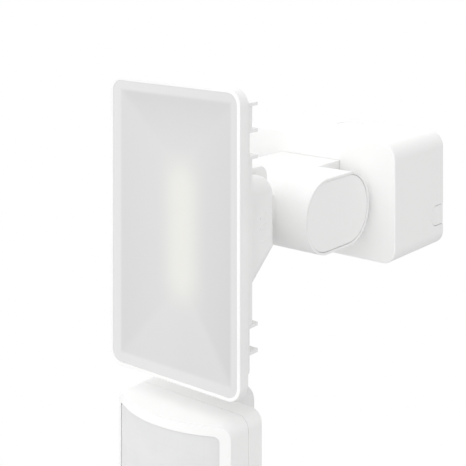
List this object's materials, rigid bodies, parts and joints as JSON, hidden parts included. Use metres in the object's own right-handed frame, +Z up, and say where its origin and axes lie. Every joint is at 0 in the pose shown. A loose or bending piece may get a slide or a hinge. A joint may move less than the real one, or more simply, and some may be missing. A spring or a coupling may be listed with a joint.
{
  "type": "floodlight security camera",
  "caption": "Wall floodlight with a flat LED head on a tilting arm from a junction box, and a panning motion-sensor camera unit hanging below it.",
  "frame": {"origin": "centre of the junction box's back face, on the wall and on the cable hole's axis", "axes": "+Z up, +Y into the wall, so the lamp faces -Y; +X to the right for a person who faces the wall"},
  "size_m": [0.19, 0.3133, 0.4038],
  "materials": {
    "black_nylon": "nylon",
    "black_plastic": "black moulded plastic",
    "board_green": "green circuit board",
    "board_white": "white solder mask on aluminium board",
    "cable_sheath": "round cable sheath",
    "clear_plastic": "clear light pipe",
    "dark_glass": "dark tinted cover glass",
    "foam_rubber": "closed-cell foam",
    "frosted_diffuser": "frosted translucent polycarbonate",
    "grey_plastic": "moulded plastic",
    "led_phosphor": "yellow phosphor lens",
    "lens_glass": "coated lens glass",
    "reflector_white": "white reflective plastic",
    "seal_rubber": "silicone seal",
    "sensor_window": "milky faceted lens of thin polyethylene",
    "steel": "zinc-plated steel",
    "white_metal": "white powder coat on cast aluminium",
    "white_plastic": "fine-grained white moulded plastic",
    "zinc_plate": "galvanised sheet steel"
  },
  "bodies": {
    "wall_mount": {"wall_gasket": "foam_rubber", "wall_plate": "zinc_plate", "junction_cover": "white_plastic", "side_knockout_tabs": "white_plastic", "conduit_plug": "white_plastic", "cover_screws": "steel", "terminal_block": "grey_plastic", "terminal_screws": "steel", "power_lead": "cable_sheath", "bracket_arm": "white_metal", "barrel_cap_right": "white_plastic", "barrel_cap_left": "white_plastic", "arm_screws": "steel", "drop_arm": "white_metal", "drop_arm_bolts": "steel"},
    "lamp_head": {"head_frame": "white_metal", "heat_sink": "white_metal", "frame_screws": "steel", "diffuser": "frosted_diffuser", "diffuser_seal": "seal_rubber", "led_board": "board_white", "led_board_screws": "steel", "led_chips": "led_phosphor", "reflector": "reflector_white", "driver_pod": "white_metal", "pod_screws": "steel", "tilt_pin": "steel", "friction_washers": "black_nylon", "driver_board": "board_green", "driver_components": "black_plastic"},
    "unit_swivel": {"pan_knuckle": "white_metal", "pan_bolt": "steel", "pan_washer": "black_nylon"},
    "camera_unit": {"unit_front_shell": "white_plastic", "unit_rear_shell": "white_plastic", "shell_screws": "steel", "shell_seal": "seal_rubber", "unit_tilt_pin": "steel", "sensor_window": "sensor_window", "main_board": "board_green", "motion_sensor": "steel", "camera_cover_glass": "dark_glass", "camera_bezel": "black_plastic", "camera_board": "board_green", "lens_barrel": "black_plastic", "camera_lens": "lens_glass", "night_vision_lamps": "lens_glass", "status_light": "clear_plastic", "speaker": "black_plastic"},
    "reset_button": {"reset_button": "grey_plastic"}
  },
  "joints": [
    {"name": "head_tilt", "type": "hinge", "parent": "wall_mount", "child": "lamp_head", "pos_m": [0, -0.2296, 0.027], "axis": [1, 0, 0], "range_deg": [-45, 10]},
    {"name": "unit_pan", "type": "hinge", "parent": "wall_mount", "child": "unit_swivel", "pos_m": [0, -0.2216, -0.15], "axis": [0, 0, 1], "range_deg": [-70, 70]},
    {"name": "unit_tilt", "type": "hinge", "parent": "unit_swivel", "child": "camera_unit", "pos_m": [0, -0.2431, -0.168], "axis": [1, 0, 0], "range_deg": [-8, 25]},
    {"name": "button_press", "type": "slide", "parent": "camera_unit", "child": "reset_button", "axis": [0, 0, 1], "range_m": [0, 0.0008], "stiffness_N_per_m": 400}
  ]
}
